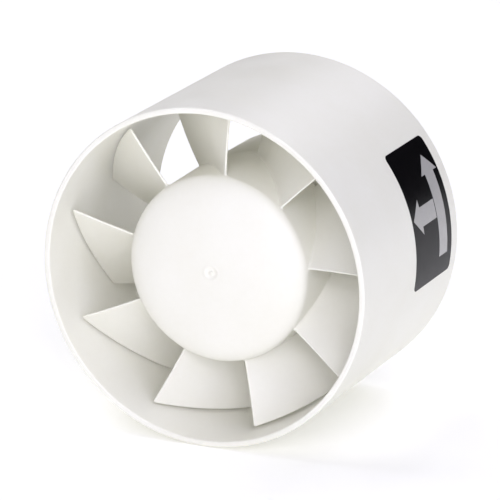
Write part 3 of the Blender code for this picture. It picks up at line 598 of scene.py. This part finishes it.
def downward_ring(radius, distance, sides):
    """A ring of points round the line down from the axis, at the cord's depth."""
    return [
        (x, -distance, z_at(CORD_DEPTH) + y)
        for x, y in (around(radius, 360 * i / sides) for i in range(sides))
    ]


def cord_drill():
    start, end = CUP_RADIUS - 8 * MM, CASING_RADIUS + 5 * MM
    rings = [downward_ring(CORD_HOLE_RADIUS, distance, 40) for distance in (start, end)]
    return skinned(rings, capped=True)


def add_casing():
    posts, holes = [], []
    post_front = BULKHEAD_FRONT + 0.4 * MM
    for angle in COVER_SCREW_ANGLES:
        place = around(COVER_SCREW_CIRCLE, angle)
        posts.append(rod(COVER_POST_RADIUS, post_front, 91 * MM, place))
        holes.append(rod(COVER_PILOT, BULKHEAD_REAR + 4 * MM, PAST_CUP, place))
    for side in (-1, 1):
        place = (side * CLAMP_SPREAD, CLAMP_HEIGHT)
        posts.append(rod(CLAMP_POST_RADIUS, post_front, 84.5 * MM, place))
        holes.append(rod(SMALL_PILOT, BULKHEAD_REAR + 1 * MM, 86 * MM, place))
        holes.append(rod(MOTOR_HOLE_RADIUS, CUP_FRONT, PAST_CUP, (side * MOTOR_HOLE_SPREAD, 0)))
    holes.append(rod(LEAD_HOLE_RADIUS, CUP_FRONT, PAST_CUP, (0, LEAD_HOLE_HEIGHT)))
    holes.append(rod(SMALL_PILOT, CUP_FRONT, PAST_CUP, (0, BLOCK_SCREW_HEIGHT)))
    holes.append(cord_drill())
    arms = [turned_by(arm(), angle) for angle in ARM_ANGLES]
    shell = cut(joined(casing_wall(), motor_cup(), *arms, *posts), *holes)
    add_piece("casing_shell", shell, "housing", FINISHES["white_plastic"], ["casing"])


# ---------------------------------------------------------------- label

def film(name, outline, inner, outer, finish, replaced=()):
    """A thin film on the casing with an outline of (angle, depth) points.

    It is filled and cut into strips while flat, in millimetres, and then bent round the casing.
    """
    shape = bmesh.new()
    radius_mm = CASING_RADIUS / MM
    flat = [(math.radians(angle) * radius_mm, depth / MM, 0) for angle, depth in outline]
    shape.faces.new([shape.verts.new(point) for point in flat])
    shape.normal_update()
    bmesh.ops.triangulate(shape, faces=shape.faces)
    low, high = min(v.co.x for v in shape.verts), max(v.co.x for v in shape.verts)
    strips = round((high - low) / FILM_STRIP)
    for i in range(1, strips):
        everything = list(shape.verts) + list(shape.edges) + list(shape.faces)
        place = (low + (high - low) * i / strips, 0, 0)
        bmesh.ops.bisect_plane(
            shape, geom=everything, dist=1e-5, plane_co=place, plane_no=(1, 0, 0),
        )
    raised = bmesh.ops.extrude_face_region(shape, geom=list(shape.faces))
    for vert in raised["geom"]:
        if isinstance(vert, bmesh.types.BMVert):
            vert.co.z = (outer - inner) / MM
    for vert in shape.verts:
        angle, radius = vert.co.x / radius_mm, inner + vert.co.z * MM
        bent = (radius * math.cos(angle), radius * math.sin(angle), z_at(vert.co.y * MM))
        vert.co = Vector(bent)
    return add_piece(name, mesh_from(shape), "housing", finish, replaced)


def add_label():
    turn_low = math.degrees(math.asin(label_low.z / CASING_RADIUS))
    turn_high = math.degrees(math.asin(label_high.z / CASING_RADIUS))
    front, rear = label_low.y - OUTLET_Y, label_high.y - OUTLET_Y
    middle = (turn_low + turn_high) / 2
    degree = math.radians(1) * CASING_RADIUS
    outline = []
    for side_x, side_y, first in ((1, 1, 0), (-1, 1, 90), (-1, -1, 180), (1, -1, 270)):
        centre_angle = (turn_high if side_x > 0 else turn_low) - side_x * LABEL_CORNER / degree
        centre_depth = (rear if side_y > 0 else front) - side_y * LABEL_CORNER
        for k in range(9):
            point = around(LABEL_CORNER, first + 90 * k / 8)
            outline.append((centre_angle + point.x / degree, centre_depth + point.y))
    film("label_sheet", outline, CASING_RADIUS - LABEL_SINK, CASING_RADIUS + LABEL_RISE,
         FINISHES["label_film"], ["label"])

    def arrow(name, points):
        film(name, points, CASING_RADIUS + ARROW_SINK, CASING_RADIUS + ARROW_RISE, arrow_print())

    # The arrows' outlines are points of (degrees round the casing, depth)
    centre = rear - 9.5 * MM
    half, head_half = 4.45 * MM, 8.3 * MM
    tail, base, tip = middle - 16.9, middle + 11.7, middle + 18.1
    arrow("rotation_arrow", [
        (tail, centre - half), (base, centre - half), (base, centre - head_half), (tip, centre),
        (base, centre + head_half), (base, centre + half), (tail, centre + half),
    ])
    middle_low, middle_high = middle - 3.15, middle + 3.35
    point, barb = front + 1.7 * MM, front + 10.2 * MM
    end = centre - half - 0.6 * MM
    arrow("flow_arrow", [
        (middle_low, end), (middle_low, barb), (middle - 5.9, barb), (middle + 0.1, point),
        (middle + 6.1, barb), (middle_high, barb), (middle_high, end),
    ])


# ---------------------------------------------------------------- impeller

def hub():
    """The hub's shell, with a small gate mark in the middle of its dome."""
    gate = [
        (0, HUB_FRONT - 0.02 * MM), (0.5 * MM, HUB_FRONT + 0.02 * MM),
        (0.85 * MM, HUB_FRONT + 0.5 * MM), (1.4 * MM, HUB_FRONT + 0.6 * MM),
        (2.0 * MM, HUB_FRONT + 0.52 * MM), (2.6 * MM, HUB_FRONT + 0.1 * MM),
        (2.9 * MM, HUB_FRONT), (3.8 * MM, HUB_FRONT), (4.1 * MM, HUB_FRONT + 0.09 * MM),
        (4.5 * MM, HUB_FRONT + 0.09 * MM), (4.8 * MM, HUB_FRONT + 0.002 * MM),
    ]
    steps = 40
    outside = []
    for i in range(1, steps + 1):
        turn = math.radians(90 * i / steps)
        radius = HUB_RADIUS * math.sin(turn) ** (2 / DOME_POWER)
        fall = DOME_DEPTH * (1 - math.cos(turn) ** (2 / DOME_POWER))
        if radius > 6 * MM:
            outside.append((radius, HUB_FRONT + fall))
    narrow = (HUB_RADIUS - HUB_WALL) / HUB_RADIUS
    inside = [(radius * narrow, depth + HUB_WALL) for radius, depth in reversed(outside)]
    inside = [point for point in inside if point[0] > 8.4 * MM]
    lip = softened([
        (HUB_RADIUS, HUB_FRONT + DOME_DEPTH, 0),
        (HUB_REAR_RADIUS, HUB_REAR, 0.4 * MM),
        (HUB_REAR_RADIUS - HUB_WALL, HUB_REAR, 0.4 * MM),
        (inside[0][0], inside[0][1], 0),
    ], closed=False)
    end = softened([
        (inside[-1][0], inside[-1][1], 0), (BOSS_RADIUS, inside[-1][1], 1.0 * MM),
        (BOSS_RADIUS, BOSS_REAR, 0.4 * MM), (SHAFT_BORE, BOSS_REAR, 0.3 * MM),
        (SHAFT_BORE, SHAFT_BORE_FRONT, 0), (0, SHAFT_BORE_FRONT, 0),
    ], closed=False)
    return turned(gate + outside + lip[1:-1] + inside + end[1:], HUB_SIDES, closed=False)


def blade_middle(chord, radius):
    """A point of the blade's middle surface: chord runs from trailing to leading edge."""
    span = (radius - BLADE_ROOT_RADIUS) / (BLADE_TIP_RADIUS - BLADE_ROOT_RADIUS)
    start, sweep, front, rear = (root + (tip - root) * span for root, tip in zip(BLADE_ROOT, BLADE_TIP))
    depth = front + (rear - front) * ((1 + BLADE_CAMBER) * chord - BLADE_CAMBER * chord ** 2)
    return Vector((*around(radius, start + sweep * chord), z_at(depth)))


def blade_ring(radius, half, inset):
    """The blade's outline at a radius: two faces a thickness apart and a round edge at each end."""
    step = 1e-4
    chords, edge_steps = 22, 6
    length = (blade_middle(1, radius) - blade_middle(0, radius)).length
    ends = (BLADE_THICKNESS / 2 + inset) / length
    upper, lower = [], []
    for i in range(chords + 1):
        chord = ends + (1 - 2 * ends) * i / chords
        along = (blade_middle(chord + step, radius) - blade_middle(chord - step, radius)).normalized()
        outward = (blade_middle(chord, radius + step) - blade_middle(chord, radius - step)).normalized()
        normal = along.cross(outward).normalized()
        place = blade_middle(chord, radius)
        upper.append(place + normal * half)
        lower.append(place - normal * half)
        if i == 0:
            first = (place, along, normal)
        last = (place, along, normal)
    ring = list(upper)
    place, along, normal = last
    for k in range(1, edge_steps):
        turn = math.radians(180 * k / edge_steps)
        ring.append(place + (normal * math.cos(turn) + along * math.sin(turn)) * half)
    ring += reversed(lower)
    place, along, normal = first
    for k in range(1, edge_steps):
        turn = math.radians(180 * k / edge_steps)
        ring.append(place - (normal * math.cos(turn) + along * math.sin(turn)) * half)
    return ring


def blade():
    """A twisted blade with a fillet at the hub, round edges and slightly rounded tip corners."""
    thin = BLADE_THICKNESS / 2
    base, tip, corner = HUB_RADIUS - 0.1 * MM, BLADE_TIP_RADIUS, 1.0 * MM
    stations = [(base - 1.2 * MM, thin + BLADE_FILLET)]
    for i in range(7):
        rise = BLADE_FILLET * (1 - math.cos(math.radians(90 * i / 6)))
        stations.append((base + rise, thin + fillet_reach(rise, BLADE_FILLET)))
    start, end, plain = base + BLADE_FILLET, tip - 1.5 * MM, 12
    stations += [(start + (end - start) * i / plain, thin) for i in range(1, plain + 1)]
    stations += [(tip - 1.0 * MM, thin), (tip - 0.7 * MM, thin)]
    for i in range(6):
        turn = math.radians(85 * i / 5)
        stations.append((tip - thin + thin * math.sin(turn), thin * math.cos(turn)))
    rings = []
    for radius, half in stations:
        past = max(0, radius - (tip - corner))
        inset = corner - math.sqrt(corner ** 2 - min(past, corner) ** 2)
        rings.append(blade_ring(radius, half, 0.8 * inset))
    return skinned(rings, capped=True)


def add_impeller():
    one = blade()
    blades = [turned_by(one, 360 / BLADES * i) for i in range(BLADES)]
    # The flat in the bore, which the shaft's own flat turns the wheel by
    near, far, half = 2.3 * MM, 3.5 * MM, 2.5 * MM
    flat = skinned([
        [(x, y, z_at(depth)) for x, y in ((near, half), (far, half), (far, -half), (near, -half))]
        for depth in (14.8 * MM, 26.3 * MM)
    ], capped=True)
    shape = joined(hub(), *blades, flat)
    add_piece("impeller_wheel", shape, "rotor", FINISHES["white_plastic"], ["impeller"])


# ---------------------------------------------------------------- rear cover, screws, grommets

def add_rear_cover():
    flat_radius, inside = 36.5 * MM, COVER_REAR - 2 * MM
    front, seat = CUP_REAR - 1.9 * MM, CUP_REAR + 0.3 * MM
    skirt_outer, skirt_inner = CUP_RADIUS - CUP_WALL - 0.3 * MM, 37.1 * MM
    skin = turned(softened([
        (0, inside, 0),
        (skirt_inner, inside, 1.5 * MM),
        (skirt_inner, front, 0.3 * MM),
        (skirt_outer, front, 0.3 * MM),
        (skirt_outer, seat, 0),
        (COVER_RADIUS, seat, 0.3 * MM),
        (COVER_RADIUS, COVER_REAR, 4.4 * MM),
        (flat_radius - 3.2 * MM, COVER_REAR, 0),
        (0, COVER_REAR, 0),
    ], closed=False, steps=8), CUP_SIDES, closed=False)
    sleeves, holes = [], []
    for angle in COVER_SCREW_ANGLES:
        place = around(COVER_SCREW_CIRCLE, angle)
        sleeves.append(rod(COVER_POST_RADIUS, 91.3 * MM, inside + 1 * MM, place))
        holes.append(rod(COVER_PILOT, BULKHEAD_REAR, CASING_LENGTH, place))
    shape = cut(joined(skin, *sleeves), *holes)
    add_piece("rear_cover_cap", shape, "housing", FINISHES["white_plastic"],
              ["rear_cover"])


def cross_recess(reach, half, top, floor):
    """A tapered cross-shaped cutter for a screw's head."""
    outline = [
        (reach, half), (half, half), (half, reach), (-half, reach), (-half, half), (-reach, half),
        (-reach, -half), (-half, -half), (-half, -reach), (half, -reach), (half, -half), (reach, -half),
    ]
    return skinned([
        [(x * scale, y * scale, z) for x, y in outline] for scale, z in ((1.15, top), (0.45, floor))
    ], capped=True)


def add_cover_screws():
    """Pan head screws with a cross recess and a rolled thread, their heads on the cover."""
    head, height, shank, length, pitch = 2.9 * MM, 1.9 * MM, 1.3 * MM, 12 * MM, 1.0 * MM
    seat = COVER_REAR + 0.3 * MM
    thread, depth = [], seat - 1.0 * MM
    while depth > seat - length + 2.2 * MM:
        root = 0.78 * shank
        thread += [(shank, depth), (root, depth - 0.35 * pitch), (root, depth - 0.65 * pitch)]
        depth -= pitch
    profile = [(0, seat + height)]
    for i in range(1, 9):
        turn = math.radians(90 * i / 8)
        rise = (height - 0.3 * MM) * math.cos(turn)
        profile.append((head * math.sin(turn) ** 0.8, seat + 0.3 * MM + rise))
    profile += [(head, seat + 0.1 * MM), (head - 0.1 * MM, seat), (shank, seat)]
    profile += thread + [(0.7 * shank, seat - length + 0.9 * MM), (0, seat - length)]
    body = turned(profile, 48, closed=False)
    recess_top, recess_floor = z_at(seat + height + 0.4 * MM), z_at(seat + 0.7 * MM)
    recess = cross_recess(0.55 * head, 0.13 * head, recess_top, recess_floor)
    made = cut(body, recess)
    for number, angle in enumerate(COVER_SCREW_ANGLES, 1):
        screwed_home = Matrix.Rotation(0.35 * number, 4, "Z")
        matrix = Matrix.Translation((*around(COVER_SCREW_CIRCLE, angle), 0)) @ screwed_home
        add_piece(f"cap_screw_{number}", placed(made, matrix), "housing", FINISHES["bright_steel"],
                  [f"cover_screw_{number}"])


def grommet(profile):
    """A turned rubber grommet under the axis, its profile given as (radius, distance from the axis)."""
    return skinned([downward_ring(radius, distance, 64) for radius, distance in profile], closed=True)


def add_grommets():
    outside, top = -grommet_low.z, -grommet_high.z
    inside = top + 1.4 * MM
    shape = grommet(softened([
        (GROMMET_CORE, outside, 0.3 * MM), (GROMMET_CORE, inside, 0),
        (GROMMET_FLANGE, inside, 0.4 * MM), (GROMMET_FLANGE, top, 0.6 * MM),
        (GROMMET_BORE, top, 0.4 * MM), (GROMMET_BORE, outside, 0.3 * MM),
    ]))
    add_piece("wall_grommet", shape, "housing", FINISHES["grey_rubber"],
              ["casing_grommet"])
    low, high = -cup_grommet_low.z, -cup_grommet_high.z
    cup_outside, cup_inside = low - 1.6 * MM, high + 1.2 * MM
    shape = grommet(softened([
        (GROMMET_FLANGE, low, 0.9 * MM), (GROMMET_FLANGE, cup_outside, 0.2 * MM),
        (GROMMET_CORE, cup_outside, 0), (GROMMET_CORE, cup_inside, 0),
        (GROMMET_LIP, cup_inside, 0.2 * MM), (GROMMET_LIP, high, 0.4 * MM),
        (GROMMET_BORE, high, 0.3 * MM), (GROMMET_BORE, low, 0.4 * MM),
    ]))
    add_piece("inner_grommet", shape, "housing", FINISHES["grey_rubber"],
              ["cup_grommet"])


# ---------------------------------------------------------------- studio

def add_floor():
    shape = bmesh.new()
    bmesh.ops.create_grid(shape, x_segments=FLOOR_CELLS, y_segments=FLOOR_CELLS, size=FLOOR_HALF)
    floor = new_object("studio_floor", mesh_from(shape))
    floor.location = (0, 0, cad_low.z - FLOOR_GAP)
    paper = Finish("studio_paper")
    paper.shader.inputs["Emission Color"].default_value = (1, 1, 1, 1)
    paper.shader.inputs["Emission Strength"].default_value = FLOOR_GLOW
    paper.colour(paper.noise(0.5, 2), (0.96, 0.96, 0.925), (0.965, 0.965, 0.93))
    paper.roughness(paper.noise(0.2, 2), 0.85, 0.95)
    floor.data.materials.append(paper.material)


def add_light(name, place, power, tint):
    data = bpy.data.lights.new(name, "AREA")
    data.shape = "SQUARE"
    data.size, data.energy, data.color = LIGHT_SIZE, power, tint
    lamp = bpy.data.objects.new(name, data)
    bpy.context.scene.collection.objects.link(lamp)
    lamp.location = place
    lamp.rotation_mode = "QUATERNION"
    lamp.rotation_quaternion = (-Vector(place)).to_track_quat("-Z", "Y")


def add_studio():
    world = bpy.data.worlds.new("studio")
    world.use_nodes = True
    background = world.node_tree.nodes["Background"]
    background.inputs["Color"].default_value = (1.0, 1.0, 1.0, 1)
    background.inputs["Strength"].default_value = WORLD_STRENGTH
    bpy.context.scene.world = world
    for light in LIGHTS:
        add_light(*light)
    bpy.context.scene.view_settings.view_transform = "Standard"


def add_camera():
    data = bpy.data.cameras.new("camera")
    data.lens, data.sensor_width = CAMERA_LENS, CAMERA_SENSOR
    data.clip_start, data.clip_end = 0.05, 30
    camera = bpy.data.objects.new("camera", data)
    bpy.context.scene.collection.objects.link(camera)
    azimuth, elevation = math.radians(CAMERA_AZIMUTH), math.radians(CAMERA_ELEVATION)
    back = Vector((
        math.sin(azimuth) * math.cos(elevation),
        -math.cos(azimuth) * math.cos(elevation),
        math.sin(elevation),
    ))
    camera.location = Vector(CAMERA_TARGET) + back * CAMERA_DISTANCE
    camera.rotation_mode = "QUATERNION"
    camera.rotation_quaternion = (-back).to_track_quat("-Z", "Y")
    bpy.context.scene.camera = camera


add_camera()
add_studio()
add_floor()
dress_cad_nodes()
add_casing()
add_label()
add_impeller()
add_rear_cover()
add_cover_screws()
add_grommets()
